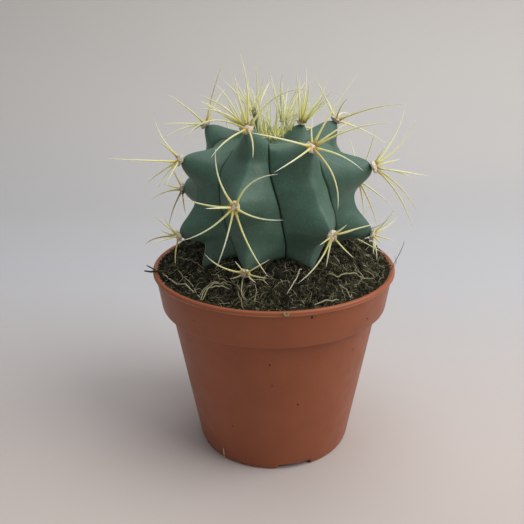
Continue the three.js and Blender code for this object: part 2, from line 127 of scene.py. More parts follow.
# Spines seen from outside: clock angle (0 up, 90 right), lean from the outward direction, length, and
# for an arched one how far its middle bows clockwise, as a share of the length.
SPINES = {
    -8: [(-45, 70, 19, -0.09), (-8, 65, 11), (43, 70, 20), (78, 65, 11), (112, 55, 6), (-104, 60, 7)],
    -6: [(59, 55, 18), (108, 45, 17), (-88, 45, 10), (-125, 60, 10), (-150, 50, 12), (10, 60, 15)],
    -5: [(-65, 65, 16, 0.08), (-80, 55, 11), (-108, 55, 26, 0.06), (61, 30, 19), (170, 55, 13),
         (20, 60, 14)],
    -3: [(77, 65, 19, -0.04), (66, 50, 10), (137, 65, 14), (-156, 60, 13), (-130, 70, 24, -0.06),
         (-99, 60, 9), (32, 50, 8)],
    -2: [(92, 65, 21), (62, 40, 11), (162, 65, 19), (-150, 70, 18), (10, 60, 16), (-70, 60, 20)],
    0: [(-15, 65, 24, -0.08), (53, 65, 25, -0.13), (95, 65, 23, 0.06), (142, 65, 31, 0.03),
        (-171, 65, 24, -0.04), (-126, 65, 25, -0.08), (-81, 65, 22, -0.05), (-88, 20, 16)],
    2: [(45, 50, 34, 0.05), (50, 35, 29, 0.08), (99, 52, 18), (128, 43, 30), (137, 45, 22),
        (168, 70, 32, -0.08), (155, 63, 29, -0.05)],
    3: [(-150, 20, 35), (-50, 45, 23, -0.06), (-80, 55, 18, 0.05), (-141, 65, 20), (175, 62, 15),
        (144, 65, 17)],
    5: [(-81, 65, 29), (-119, 65, 26), (-179, 70, 29, -0.1), (135, 65, 22, -0.06), (95, 45, 33, -0.05),
        (67, 65, 21), (43, 50, 34, -0.03), (12, 65, 12)],
    6: [(120, 65, 22), (76, 45, 30), (15, 60, 30), (100, 60, 26), (-150, 65, 20), (-60, 60, 24, 0.1)],
    7: [(5, 60, 24, 0.1), (-118, 40, 34), (178, 65, 33), (-60, 60, 20), (90, 60, 25, -0.07),
        (130, 55, 26, -0.1)],
    8: [(-121, 65, 25, 0.25), (-159, 65, 22), (-75, 50, 25, 0.06), (-83, 63, 23, 0.09), (-12, 40, 31),
        (-24, 24, 22), (155, 65, 21), (64, 60, 29, -0.17)],
}
RADIAL_SPINES = 7
YOUNG_FROM = 9           # areoles from this number on are young: their spines stand up in the crown
YOUNG_EXTRA_SPINES = 7   # finer spines between the others on the youngest areoles


# Camera and light

CAMERA_PLACE = Vector((0, -0.26768, 0.1845))   # metres
CAMERA_PITCH = 0.361                           # radians below level
CAMERA_PAN = -0.019                            # radians to the right
CAMERA_ROLL = -0.008
CAMERA_LENS = 44.66


def add_object(name, data):
    item = bpy.data.objects.new(name, data)
    bpy.context.scene.collection.objects.link(item)
    return item


def make_camera():
    data = bpy.data.cameras.new("camera")
    data.lens = CAMERA_LENS
    data.sensor_width = 36
    data.clip_start = 0.01
    pitched = Matrix.Rotation(math.pi / 2 - CAMERA_PITCH, 4, "X") @ Matrix.Rotation(CAMERA_ROLL, 4, "Z")
    turned = Matrix.Rotation(-CAMERA_PAN, 4, "Z") @ pitched
    camera = add_object("camera", data)
    camera.matrix_world = Matrix.Translation(CAMERA_PLACE) @ turned
    bpy.context.scene.camera = camera


def add_area_light(name, place, target, size, power, colour):
    data = bpy.data.lights.new(name, "AREA")
    data.shape = "DISK"
    data.size = size
    data.energy = power
    data.color = colour
    light = add_object(name, data)
    light.location = place
    light.rotation_mode = "QUATERNION"
    light.rotation_quaternion = (Vector(target) - Vector(place)).to_track_quat("-Z", "Y")


def make_lights():
    middle = (0, 0, 0.09)
    add_area_light("key_light", (0.77, -0.26, 0.84), middle, 1.0, 9.9, (1.0, 0.965, 0.92))
    add_area_light("top_light", (0.05, 0.1, 1.1), middle, 1.0, 4.2, (1.0, 0.99, 0.98))
    add_area_light("left_fill", (-0.9, -0.5, 0.5), middle, 0.8, 0.3, (0.86, 0.92, 1.0))
    world = bpy.data.worlds.new("world")
    world.use_nodes = True
    background = world.node_tree.nodes["Background"]
    background.inputs["Color"].default_value = (0.93, 0.95, 1.0, 1)
    background.inputs["Strength"].default_value = 0.26
    bpy.context.scene.world = world
    bpy.context.scene.view_settings.view_transform = "Standard"


# Materials

def new_material(name, roughness, **settings):
    """A material with a Principled shader. The settings are put on the shader's own sockets."""
    material = bpy.data.materials.new(name)
    material.use_nodes = True
    shader = material.node_tree.nodes["Principled BSDF"]
    shader.inputs["Roughness"].default_value = roughness
    for socket, value in settings.items():
        shader.inputs[socket.replace("_", " ")].default_value = value
    return material, material.node_tree, shader


def add_node(tree, kind, **settings):
    node = tree.nodes.new(kind)
    for key, value in settings.items():
        setattr(node, key, value)
    return node


def object_coordinates(tree):
    return add_node(tree, "ShaderNodeTexCoord").outputs["Object"]


def noise(tree, scale, detail, roughness=0.55):
    """Noise from 0 to 1, its scale in waves per metre."""
    node = add_node(tree, "ShaderNodeTexNoise")
    node.inputs["Scale"].default_value = scale
    node.inputs["Detail"].default_value = detail
    node.inputs["Roughness"].default_value = roughness
    feed(tree, object_coordinates(tree), node.inputs["Vector"])
    return node.outputs["Fac"]


def ramp(tree, factor, stops):
    """A colour ramp: stops are (position, (r, g, b))."""
    node = add_node(tree, "ShaderNodeValToRGB")
    elements = node.color_ramp.elements
    while len(elements) < len(stops):
        elements.new(0.5)
    for element, (position, colour) in zip(elements, stops):
        element.position = position
        element.color = (*colour, 1)
    feed(tree, factor, node.inputs["Fac"])
    return node.outputs["Color"]


def feed(tree, value, socket):
    """Sets a socket to a number or a colour, or links it to another node's output."""
    if isinstance(value, (int, float)):
        socket.default_value = value
    elif isinstance(value, tuple):
        socket.default_value = (*value, 1)
    else:
        tree.links.new(value, socket)


def mix_colours(tree, factor, first, second, blend="MIX"):
    node = add_node(tree, "ShaderNodeMix", data_type="RGBA", blend_type=blend)
    for value, socket in ((factor, 0), (first, 6), (second, 7)):
        feed(tree, value, node.inputs[socket])
    return node.outputs[2]


def map_range(tree, value, low, high, to_low=0.0, to_high=1.0):
    node = add_node(tree, "ShaderNodeMapRange")
    for socket, number in zip(("From Min", "From Max", "To Min", "To Max"), (low, high, to_low, to_high)):
        node.inputs[socket].default_value = number
    feed(tree, value, node.inputs["Value"])
    return node.outputs["Result"]


def multiply(tree, first, second):
    node = add_node(tree, "ShaderNodeMath", operation="MULTIPLY")
    feed(tree, first, node.inputs[0])
    feed(tree, second, node.inputs[1])
    return node.outputs["Value"]


def coordinate(tree, axis):
    """One of the object's own coordinates, in metres. Z is the height above the ground."""
    split = add_node(tree, "ShaderNodeSeparateXYZ")
    feed(tree, object_coordinates(tree), split.inputs["Vector"])
    return split.outputs[axis]


def times_grey(tree, colour, value):
    """A colour with its three channels multiplied by the same value."""
    grey = add_node(tree, "ShaderNodeCombineXYZ")
    for axis in ("X", "Y", "Z"):
        feed(tree, value, grey.inputs[axis])
    return mix_colours(tree, 1.0, colour, grey.outputs["Vector"], "MULTIPLY")


def mesh_value(tree, name):
    """A per-vertex value written on the mesh."""
    return add_node(tree, "ShaderNodeAttribute", attribute_name=name).outputs["Fac"]


def add_bump(tree, shader, scale, detail, distance, strength=1.0, roughness=0.55):
    """Noise as relief, on top of the relief that the shader already has. The distance is in metres."""
    bump = add_node(tree, "ShaderNodeBump")
    bump.inputs["Distance"].default_value = distance
    bump.inputs["Strength"].default_value = strength
    feed(tree, noise(tree, scale, detail, roughness), bump.inputs["Height"])
    if shader.inputs["Normal"].is_linked:
        feed(tree, shader.inputs["Normal"].links[0].from_socket, bump.inputs["Normal"])
    feed(tree, bump.outputs["Normal"], shader.inputs["Normal"])


def pot_material():
    """Terracotta-brown plastic, with faint mould mottling, dust and specks of soil. The lip is painted
    slightly brighter, partly its fresher colour and partly a painted glow of light through the thin plastic,
    and a painted highlight runs along its bead.
    """
    material, tree, shader = new_material("pot_plastic", 0.42, Specular_IOR_Level=0.4)
    body = ramp(tree, noise(tree, 55, 5), [
        (0.3, (0.270, 0.073, 0.026)), (0.5, (0.292, 0.079, 0.029)), (0.7, (0.312, 0.086, 0.033)),
    ])
    height = coordinate(tree, "Z")
    # The lip is painted slightly brighter: partly its fresher plastic colour, partly a painted glow of light
    # shining through the thin lip.
    lip = map_range(tree, height, (POT_HEIGHT - 3.0) * MM, (POT_HEIGHT - 1.6) * MM)
    coloured = mix_colours(tree, lip, body, (0.34, 0.098, 0.038))
    # Painted highlight: a thin pale band along the lip's bead stands in for its specular reflection.
    painted_highlight = multiply(
        tree, map_range(tree, height, (POT_HEIGHT - 2.5) * MM, (POT_HEIGHT - 2.0) * MM, 0, 0.55),
        map_range(tree, height, (POT_HEIGHT - 1.7) * MM, (POT_HEIGHT - 1.2) * MM, 1, 0),
    )
    coloured = mix_colours(tree, multiply(tree, painted_highlight, map_range(tree, noise(tree, 60, 3), 0.35, 0.6)),
                           coloured, (0.60, 0.30, 0.19))
    dust = map_range(tree, noise(tree, 900, 6, 0.7), 0.62, 0.8, 0, 0.35)
    dusty = mix_colours(tree, dust, coloured, (0.42, 0.27, 0.19))
    cells = add_node(tree, "ShaderNodeTexVoronoi")
    cells.inputs["Scale"].default_value = 75
    feed(tree, object_coordinates(tree), cells.inputs["Vector"])
    specks = map_range(tree, cells.outputs["Distance"], 0.035, 0.06, 0.75, 0)
    speckled = mix_colours(tree, specks, dusty, (0.09, 0.035, 0.02))
    feed(tree, speckled, shader.inputs["Base Color"])
    feed(tree, map_range(tree, noise(tree, 140, 5), 0.3, 0.7, 0.36, 0.5), shader.inputs["Roughness"])
    add_bump(tree, shader, 420, 3, 0.00006, 0.6)
    add_bump(tree, shader, 40, 2, 0.0004, 0.35)
    return material


def soil_material(name, dark, middle, light):
    """Peat: the tone of each crumb is written on the mesh, and finer grain is added here."""
    material, tree, shader = new_material(name, 0.9, Specular_IOR_Level=0.25)
    tone = mesh_value(tree, "tone")
    crumb = ramp(tree, tone, [(0.0, dark), (0.62, middle), (1.0, light)])
    grain = map_range(tree, noise(tree, 2600, 6, 0.7), 0.3, 0.7, 0.55, 1.5)
    feed(tree, times_grey(tree, crumb, grain), shader.inputs["Base Color"])
    add_bump(tree, shader, 3200, 5, 0.00035, roughness=0.7)
    return material


def fibre_material():
    material, tree, shader = new_material("root_fibre", 0.8, Specular_IOR_Level=0.3)
    colour = ramp(tree, mesh_value(tree, "tone"), [
        (0.0, (0.036, 0.031, 0.016)), (0.45, (0.120, 0.111, 0.056)), (0.8, (0.38, 0.355, 0.21)),
        (1.0, (0.70, 0.66, 0.46)),
    ])
    streaks = map_range(tree, noise(tree, 1500, 4), 0.3, 0.7, 0.7, 1.2)
    feed(tree, times_grey(tree, colour, streaks), shader.inputs["Base Color"])
    return material


def stem_material():
    """Waxy blue-green skin: painted shade darkens the grooves, lighter and bluer over the crests, with fine
    pale dots.
    """
    material, tree, shader = new_material(
        "stem_skin", 0.5, Specular_IOR_Level=0.45, Sheen_Weight=0.12, Sheen_Roughness=0.5,
        Subsurface_Weight=0.06, Subsurface_Scale=0.002, Subsurface_Radius=(0.4, 1.0, 0.5),
    )
    skin = ramp(tree, noise(tree, 70, 5, 0.6), [
        (0.30, (0.031, 0.083, 0.053)), (0.5, (0.045, 0.112, 0.078)), (0.70, (0.070, 0.155, 0.114)),
    ])
    crest = mesh_value(tree, "crest")
    bloomed = mix_colours(tree, multiply(tree, crest, 0.35), skin, (0.090, 0.185, 0.140))
    # Painted shade: a thin dark line is painted along the bottom of each groove, where shade falls in the
    # crease.
    groove_shaded = mix_colours(tree, map_range(tree, crest, 0.0, 0.032, 0.85, 0.0), bloomed, (0.012, 0.034, 0.018))
    dots = map_range(tree, noise(tree, 1700, 2, 0.5), 0.58, 0.68, 0, 0.28)
    dotted = mix_colours(tree, dots, groove_shaded, (0.17, 0.29, 0.22))
    height = coordinate(tree, "Z")
    dirt_line = map_range(tree, height, (SOIL_MOUND_HEIGHT - 1) * MM, (SOIL_MOUND_HEIGHT + 6) * MM, 0.75, 0.0)
    dirt = multiply(tree, dirt_line, map_range(tree, noise(tree, 900, 5, 0.7), 0.4, 0.62))
    dirty = mix_colours(tree, dirt, dotted, (0.045, 0.034, 0.020))
    feed(tree, dirty, shader.inputs["Base Color"])
    feed(tree, map_range(tree, noise(tree, 260, 4), 0.3, 0.7, 0.42, 0.6), shader.inputs["Roughness"])
    add_bump(tree, shader, 2200, 3, 0.00005, 0.7)
    add_bump(tree, shader, 260, 4, 0.0004, 0.4)
    return material


def spine_material():
    """Golden to brown at the root, pale yellow along the shaft, and nearly white at the tip."""
    material, tree, shader = new_material("spine", 0.38, Specular_IOR_Level=0.5, Subsurface_Weight=0.8,
                                          Subsurface_Scale=0.0012, Subsurface_Radius=(1.0, 0.95, 0.5))
    along = mesh_value(tree, "along")
    pale = ramp(tree, along, [
        (0.0, (0.62, 0.46, 0.13)), (0.10, (0.80, 0.76, 0.31)), (0.30, (0.90, 0.92, 0.50)),
        (0.8, (0.91, 0.91, 0.60)), (1.0, (0.86, 0.80, 0.54)),
    ])
    brown = ramp(tree, along, [
        (0.0, (0.30, 0.15, 0.045)), (0.3, (0.47, 0.33, 0.10)), (0.75, (0.58, 0.47, 0.19)),
        (1.0, (0.60, 0.50, 0.30)),
    ])
    colour = mix_colours(tree, mesh_value(tree, "tone"), pale, brown)
    rings = map_range(tree, noise(tree, 1800, 3), 0.3, 0.7, 0.92, 1.08)
    feed(tree, times_grey(tree, colour, rings), shader.inputs["Base Color"])
    add_bump(tree, shader, 3000, 2, 0.00004, 0.5)
    return material


def wool_material():
    """Felted cream wool with brown scabs."""
    material, tree, shader = new_material("areole_wool", 0.95, Specular_IOR_Level=0.15, Sheen_Weight=0.3)
    felt = ramp(tree, noise(tree, 1100, 5, 0.65), [
        (0.31, (0.26, 0.14, 0.075)), (0.41, (0.58, 0.42, 0.28)), (0.51, (0.84, 0.78, 0.62)),
        (0.8, (0.93, 0.90, 0.80)),
    ])
    feed(tree, felt, shader.inputs["Base Color"])
    add_bump(tree, shader, 4200, 4, 0.0003, roughness=0.7)
    return material


def floor_material():
    """Pale paper, painted with the lamps' tints: warm in front, bluish behind the pot and neutral on the
    wall.
    """
    material, tree, shader = new_material("floor_paper", 0.75, Specular_IOR_Level=0.2)
    # Painted light: the colour ramp along the depth stands in for the warm and cool tints and brightness of
    # the lamps falling on the paper.
    depth = map_range(tree, coordinate(tree, "Y"), -0.25, 0.65)
    colour = ramp(tree, depth, [
        (0.0, (0.54, 0.485, 0.43)), (0.25, (0.59, 0.54, 0.52)), (0.5, (0.54, 0.555, 0.59)),
        (0.75, (0.55, 0.55, 0.56)), (1.0, (0.60, 0.58, 0.555)),
    ])
    feed(tree, colour, shader.inputs["Base Color"])
    return material


# Meshes

def new_mesh(name, points, faces, smooth=True):
    """A mesh from points in millimetres."""
    mesh = bpy.data.meshes.new(name)
    mesh.from_pydata((np.asarray(points, float) * MM).tolist(), [], faces)
    mesh.polygons.foreach_set("use_smooth", [smooth] * len(mesh.polygons))
    return mesh


def make_piece(name, points, faces, material, replaces=(), values=None, smooth=True):
    """A piece of the root body, from points in millimetres and faces. values are per-vertex numbers."""
    mesh = new_mesh(name, points, faces, smooth)
    for key, numbers in (values or {}).items():
        attribute = mesh.attributes.new(key, "FLOAT", "POINT")
        attribute.data.foreach_set("value", np.asarray(numbers, np.float32))
    mesh.materials.append(material)
    mesh.update()
    piece = add_object(name, mesh)
    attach(piece, "root")
    if replaces:
        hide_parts(*replaces)
    return piece


def outward(azimuth):
    """The level direction away from the axis at an azimuth, as (..., 3) numbers."""
    turn = np.radians(azimuth)
    return np.stack([np.sin(turn), -np.cos(turn), np.zeros_like(turn)], -1)


def closed_faces(rings, sides, flip=False):
    """Quads between rings of points, each closed on itself, and a fan round the point at each end."""
    faces = []
    for ring in range(rings - 1):
        here = 1 + ring * sides
        for side in range(sides):
            other = (side + 1) % sides
            quad = (here + side, here + other, here + sides + other, here + sides + side)
            faces.append(quad[::-1] if flip else quad)
    last = 1 + rings * sides
    for side in range(sides):
        here, other = (side, (side + 1) % sides) if flip else ((side + 1) % sides, side)
        faces.append((0, 1 + here, 1 + other))
        faces.append((last, last - sides + other, last - sides + here))
    return faces


def clock_direction(clock, up, right):
    """The direction at a clock angle in radians, from up towards right."""
    return math.cos(clock) * up + math.sin(clock) * right


def scatter(first, second):
    """The same repeatable value from 0 to 1 that the CAD source uses."""
    value = math.sin(first * 12.9898 + second * 78.233) * 43758.5453
    return value - math.floor(value)


def lattice_value(cell, seed):
    """A repeatable value from -1 to 1 for each whole-number cell."""
    mixed = (cell[..., 0] * 73856093) ^ (cell[..., 1] * 19349663) ^ (cell[..., 2] * 83492791)
    mixed = mixed ^ (seed * 2654435)
    mixed = (mixed ^ (mixed >> 13)) * 1274126177
    return ((mixed ^ (mixed >> 16)) & 0xFFFF) / 32767.5 - 1


def smooth_noise(points, size, seed):
    """Smooth noise from -1 to 1 with features of a size in millimetres."""
    scaled = np.asarray(points, float) / size
    cell = np.floor(scaled).astype(np.int64)
    share = scaled - cell
    share = share * share * (3 - 2 * share)
    total = np.zeros(scaled.shape[:-1])
    for corner in range(8):
        step = np.array([corner & 1, (corner >> 1) & 1, corner >> 2])
        weight = np.prod(np.where(step == 1, share, 1 - share), axis=-1)
        total += weight * lattice_value(cell + step, seed)
    return total


def tube_mesh(path, radii, sides, twist=0.0):
    """Points and faces of a round rod along a path, closed with a fan at each end."""
    path = np.asarray(path, float)
    radii = np.asarray(radii, float)
    along = np.gradient(path, axis=0)
    along /= np.linalg.norm(along, axis=1, keepdims=True)
    helper = np.array([1.0, 0, 0]) if abs(along[:, 2]).mean() > 0.8 else np.array([0, 0, 1.0])
    across = np.cross(along, helper)
    across /= np.linalg.norm(across, axis=1, keepdims=True)
    other = np.cross(along, across)
    turn = np.arange(sides) / sides * 2 * np.pi + twist
    rings = (path[:, None]
             + radii[:, None, None] * (np.cos(turn)[None, :, None] * across[:, None]
                                       + np.sin(turn)[None, :, None] * other[:, None]))
    points = np.concatenate([path[:1], rings.reshape(-1, 3), path[-1:]])
    return points, closed_faces(len(path), sides, flip=True)


class Collector:
    """Gathers many small closed shapes into one mesh, with per-vertex values."""

    def __init__(self, *keys):
        self.points = []
        self.faces = []
        self.values = {key: [] for key in keys}
        self.count = 0

    def add(self, points, faces, **values):
        self.points.append(points)
        self.faces.extend(tuple(corner + self.count for corner in face) for face in faces)
        for key, numbers in values.items():
            self.values[key].append(np.broadcast_to(np.asarray(numbers, float), (len(points),)))
        self.count += len(points)

    def piece(self, name, material, slot=None, replaces=(), smooth=True):
        values = {key: np.concatenate(numbers) for key, numbers in self.values.items()}
        points = np.concatenate(self.points)
        return make_piece(name, points, self.faces, material, replaces, values, smooth)


# Floor

FLOOR_REACH = 9000
BEND_START = 380
BEND_RADIUS = 260
BACK_WALL_HEIGHT = 1600


def make_floor():
    """A level floor that curves up into a wall behind."""
    outline = [(-FLOOR_REACH, 0), (-300, 0), (BEND_START, 0)]
    for turn in np.linspace(0.1, math.pi / 2, 14):
        outline.append((BEND_START + BEND_RADIUS * math.sin(turn), BEND_RADIUS * (1 - math.cos(turn))))
    outline.append((BEND_START + BEND_RADIUS, BACK_WALL_HEIGHT))
    points = [(x, y, z) for y, z in outline for x in (-FLOOR_REACH, FLOOR_REACH)]
    faces = [(2 * i, 2 * i + 1, 2 * i + 3, 2 * i + 2) for i in range(len(outline) - 1)]
    mesh = new_mesh("floor", points, faces)
    mesh.materials.append(floor_material())
    add_object("floor", mesh)


# Pot

POT_SIDES = 320
LEDGE_HEIGHT = 3.2      # from the top of the tapered wall up to the band


def arc(centre, radius, start, end, steps):
    """Points on an arc of the outline, angles in degrees from straight outward."""
    turns = np.radians(np.linspace(start, end, steps))
    return [(centre[0] + radius * math.cos(t), centre[1] + radius * math.sin(t)) for t in turns]


def pot_outline():
    """Distance from the axis and height, from under the floor, up the outside and down the inside."""
    band_bottom = POT_HEIGHT - BAND_HEIGHT
    ring_inside = POT_BASE_RADIUS - FOOT_WIDTH
    outside = [(0, FOOT_HEIGHT), (ring_inside - 0.6, FOOT_HEIGHT), (ring_inside - 0.1, 0.25)]
    outside += [(ring_inside + 0.15, 0), (POT_BASE_RADIUS - 1.0, 0)]
    outside += arc((POT_BASE_RADIUS - 1.0, 1.0), 1.0, -70, -8, 5)
    wall_top = (POT_WALL_TOP_RADIUS - 0.1, band_bottom - LEDGE_HEIGHT)
    for height in (2.2, 4.0, 12.0, 30.0, 50.0):
        share = height / wall_top[1]
        outside.append((POT_BASE_RADIUS + share * (wall_top[0] - POT_BASE_RADIUS), height))
    outside.append(wall_top)
    outside += arc((POT_WALL_TOP_RADIUS + 1.2, band_bottom - 2.3), 1.2, 178, 100, 5)
    outside += arc((BAND_BOTTOM_RADIUS - 1.0, band_bottom + 0.1), 1.0, -80, -5, 6)
    outside += [(BAND_TOP_RADIUS - 0.05, POT_HEIGHT - LIP_HEIGHT - 0.25)]
    outside += arc((LIP_RADIUS - 0.55, POT_HEIGHT - LIP_HEIGHT + 0.75), 0.55, -60, 0, 4)
    outside += arc((LIP_RADIUS - 0.9, POT_HEIGHT - 0.9), 0.9, 5, 120, 7)
    inside = [
        (BAND_TOP_RADIUS - WALL + 0.1, POT_HEIGHT - 0.5),
        (BAND_TOP_RADIUS - WALL - 0.1, POT_HEIGHT - 1.4),
        (BAND_BOTTOM_RADIUS - WALL, band_bottom + 2.5),
        (POT_WALL_TOP_RADIUS - WALL, band_bottom - 1),
        (POT_BASE_RADIUS - WALL + 0.5, FOOT_HEIGHT + WALL),
        (0, FOOT_HEIGHT + WALL),
    ]
    return outside + inside


def make_pot(material):
    outline = pot_outline()
    rings = outline[1:-1]
    azimuths = np.arange(POT_SIDES) * 360 / POT_SIDES
    points = [(0, 0, outline[0][1])]
    for radius, height in rings:
        ring = outward(azimuths) * radius
        ring[:, 2] = height
        points.extend(ring)
    points.append((0, 0, outline[-1][1]))
    points = np.array(points)
    notch_half = math.degrees(math.asin(NOTCH_WIDTH / 2 / POT_BASE_RADIUS))
    away = np.degrees(np.arctan2(points[:, 0], -points[:, 1]))
    step = 360 / NOTCH_COUNT
    from_notch = np.abs((away - NOTCH_AZIMUTH + step / 2) % step - step / 2)
    raised = (from_notch < notch_half) & (np.hypot(points[:, 0], points[:, 1]) > 10)
    points[raised, 2] = np.maximum(points[raised, 2], NOTCH_HEIGHT)
    faces = closed_faces(len(rings), POT_SIDES)
    pot = make_piece("nursery_pot", points, faces, material, ["pot"])
    cut_drain_holes(pot)
    pot.data.set_sharp_from_angle(angle=math.radians(38))
    return pot


def cut_drain_holes(pot):
    for hole in range(DRAIN_COUNT):
        azimuth = (hole + 0.5) * 360 / DRAIN_COUNT
        centre = outward(azimuth) * DRAIN_CIRCLE + np.array([0, 0, FOOT_HEIGHT + WALL / 2])
        path = np.stack([centre - (0, 0, 2 * WALL), centre + (0, 0, 2 * WALL)])
        points, faces = tube_mesh(path, [DRAIN_RADIUS] * 2, 32)
        cutter = add_object("drain", new_mesh("drain", points, faces, smooth=False))
        cut = pot.modifiers.new("drain", "BOOLEAN")
        cut.operation = "DIFFERENCE"
        cut.solver = "EXACT"
        cut.object = cutter
        bpy.context.view_layer.objects.active = pot
        bpy.ops.object.modifier_apply(modifier="drain")
        bpy.data.objects.remove(cutter)


# Stem

STEM_ROWS = 230
COLUMNS_PER_RIB = 46
CREASE_DEPTH = 1.4
CREASE_WIDTH = 0.02      # as a share of the way from the groove to the crest
ALONG_POWER = 2.2        # how bluntly a tubercle falls off along its rib
ACROSS_POWER = 1.3       # and towards the grooves
POLE_FADE = 0.3          # radians from each pole over which the skin's relief fades in


def wrap_degrees(angle):
    return (angle + 180) % 360 - 180


def areole_azimuth(number):
    return FIRST_AZIMUTH - DIVERGENCE * number + OFF_SPIRAL.get(number, 0)


def globe(elevation, radius, top, bottom):
    """Distance from the globe's middle to a flattened globe's surface, its top squarer than its bottom."""
    power = np.where(elevation > 0, 3.0, 2.0)
    end = np.where(elevation > 0, top, bottom)
    level, upright = np.cos(elevation) / radius, np.abs(np.sin(elevation)) / end
    return (level ** power + upright ** power) ** (-1 / power)


def crown_dip(elevation):
    return CROWN_DIP * np.exp(-(((np.pi / 2 - elevation) / 0.35) ** 2))


def crest_distance(elevation):
    return globe(elevation, CREST_RADIUS, STEM_TOP, STEM_BOTTOM) - crown_dip(elevation)


def groove_distance(elevation):
    crest = crest_distance(elevation)
    groove = globe(elevation, GROOVE_RADIUS, STEM_TOP - 2.5, STEM_BOTTOM - 1.5) - crown_dip(elevation)
    return crest - (crest - groove) * (1 - np.exp(-(((np.pi / 2 - elevation) / POLE_FADE) ** 2)))


def find_tubercles():
    """Each tubercle's number, azimuth, elevation, distance, rise above the crest and width."""
    rows = []
    for number, height, listed in BURIED + AREOLES:
        radius = listed - TUBERCLE_SINK
        up = height - STEM_CENTRE_HEIGHT
        elevation = math.atan2(up, radius)
        distance = math.hypot(radius, up)
        rise = distance - float(crest_distance(np.array(elevation)))
        young = min(0.55 + 0.45 * radius / CREST_RADIUS, 1)
        old = 1 - OLD_PINCH * max(OLD_ELEVATION - elevation, 0)
        rows.append((number, areole_azimuth(number), elevation, distance, rise, TUBERCLE_WIDTH * young * old))
    return rows


TUBERCLES = find_tubercles()


def rib_tubercles(rib):
    return [tubercle for tubercle in TUBERCLES if tubercle[0] % RIBS == rib]


def rib_crests(elevation):
    """Each rib's crest azimuth at every elevation, and the rib's number, in order round the stem."""
    crests = []
    for rib in range(RIBS):
        members = rib_tubercles(rib)
        turn = np.zeros_like(elevation)
        for before, after in zip(members, members[1:]):
            share = np.clip((elevation - before[2]) / (after[2] - before[2]), 0, 1)
            turn = turn + share * share * (3 - 2 * share) * wrap_degrees(after[1] - before[1])
        crests.append((members[0][1] + turn, rib))
    return sorted(crests, key=lambda row: float(np.mean(row[0])) % 360)


def bulge(rib, elevation):
    """How strongly a tubercle of the rib is felt at each elevation, from 0 to 1."""
    felt = [np.exp(-(((elevation - own) * distance / SWAY_HEIGHT) ** 2))
            for _, _, own, distance, _, _ in rib_tubercles(rib)]
    return np.max(felt, axis=0)


def rib_spans(elevation):
    """Each rib's crest azimuth, the width to the next crest, and the groove's place as a share of it."""
    crests = rib_crests(elevation)
    spans = []
    for (crest, rib), (next_crest, next_rib) in zip(crests, crests[1:] + crests[:1]):
        width = (next_crest - crest) % 360
        sway = GROOVE_SWAY * (bulge(rib, elevation) - bulge(next_rib, elevation))
        spans.append((crest, width, 0.5 + sway + GROOVE_LEAN * elevation / width))
    return spans


def stem_distance(azimuth, elevation, share):
    """Distance from the globe's middle to the skin; share is 0 on a crest and 1 in a groove."""
    groove = groove_distance(elevation)
    distance = groove + (crest_distance(elevation) - groove) * (1 - share ** CREST_SHARPNESS)
    for _, at_azimuth, at_elevation, reach, rise, width in TUBERCLES:
        along = (elevation - at_elevation) * reach
        across = np.radians(wrap_degrees(azimuth - at_azimuth)) * reach * np.cos(elevation)
        flank = width * np.where(along > 0, UPPER_FLANK, LOWER_FLANK)
        away = (np.abs(along) / flank) ** ALONG_POWER
        away = away + (np.abs(across) / (width * SIDE_FLANK)) ** ACROSS_POWER
        distance = distance + rise * np.exp(-away)
    return distance


def groove_share(azimuth, elevation):
    """How far each direction lies from its nearest crest: 0 on it, 1 in the groove."""
    share = np.zeros_like(azimuth)
    for crest, width, groove in rib_spans(elevation):
        place = ((azimuth - crest) % 360) / width
        inside = place < 1
        here = np.where(place < groove, place / groove, (1 - place) / (1 - groove))
        share = np.where(inside, here, share)
    return np.clip(share, 0, 1)


def to_points(azimuth, elevation, distance):
    points = outward(azimuth) * (distance * np.cos(elevation))[..., None]
    points[..., 2] = STEM_CENTRE_HEIGHT + distance * np.sin(elevation)
    return points


def make_stem(material):
    elevation = np.radians(np.linspace(-90, 90, STEM_ROWS + 1)[1:-1])
    spread = np.arange(COLUMNS_PER_RIB) / COLUMNS_PER_RIB * 2 - 1
    spread = np.sign(spread) * np.abs(spread) ** 1.4 + 1
    azimuth, share = [], []
    for crest, width, groove in rib_spans(elevation):
        groove = groove[:, None]
        place = np.where(spread < 1, spread * groove, groove + (spread - 1) * (1 - groove))
        azimuth.append(crest[:, None] + width[:, None] * place)
        share.append(np.broadcast_to(1 - np.abs(spread - 1), place.shape))
    azimuth = np.concatenate(azimuth, axis=1)
    share = np.concatenate(share, axis=1)
    rows = np.repeat(elevation[:, None], azimuth.shape[1], axis=1)
    distance = stem_distance(azimuth, rows, share)
    skin = to_points(azimuth, rows, distance)
    fade = np.clip((np.pi / 2 - np.abs(rows)) / POLE_FADE, 0, 1)
    lumps = 0.30 * smooth_noise(skin, 8, 3) + 0.10 * smooth_noise(skin, 3.2, 4)
    crease = CREASE_DEPTH * np.exp(-((1 - share) / CREASE_WIDTH) ** 2) * fade
    skin = to_points(azimuth, rows, distance + lumps * fade - crease)
    ends = np.array([-np.pi / 2, np.pi / 2])
    ends = to_points(np.zeros(2), ends, stem_distance(np.zeros(2), ends, np.ones(2)))
    points = np.concatenate([ends[:1], skin.reshape(-1, 3), ends[1:]])
    faces = closed_faces(len(elevation), azimuth.shape[1])
    crest = np.concatenate([[0.5], (1 - share).ravel(), [0.5]])
    return make_piece("cactus_body", points, faces, material, ["cactus_stem"], {"crest": crest})


# Areoles

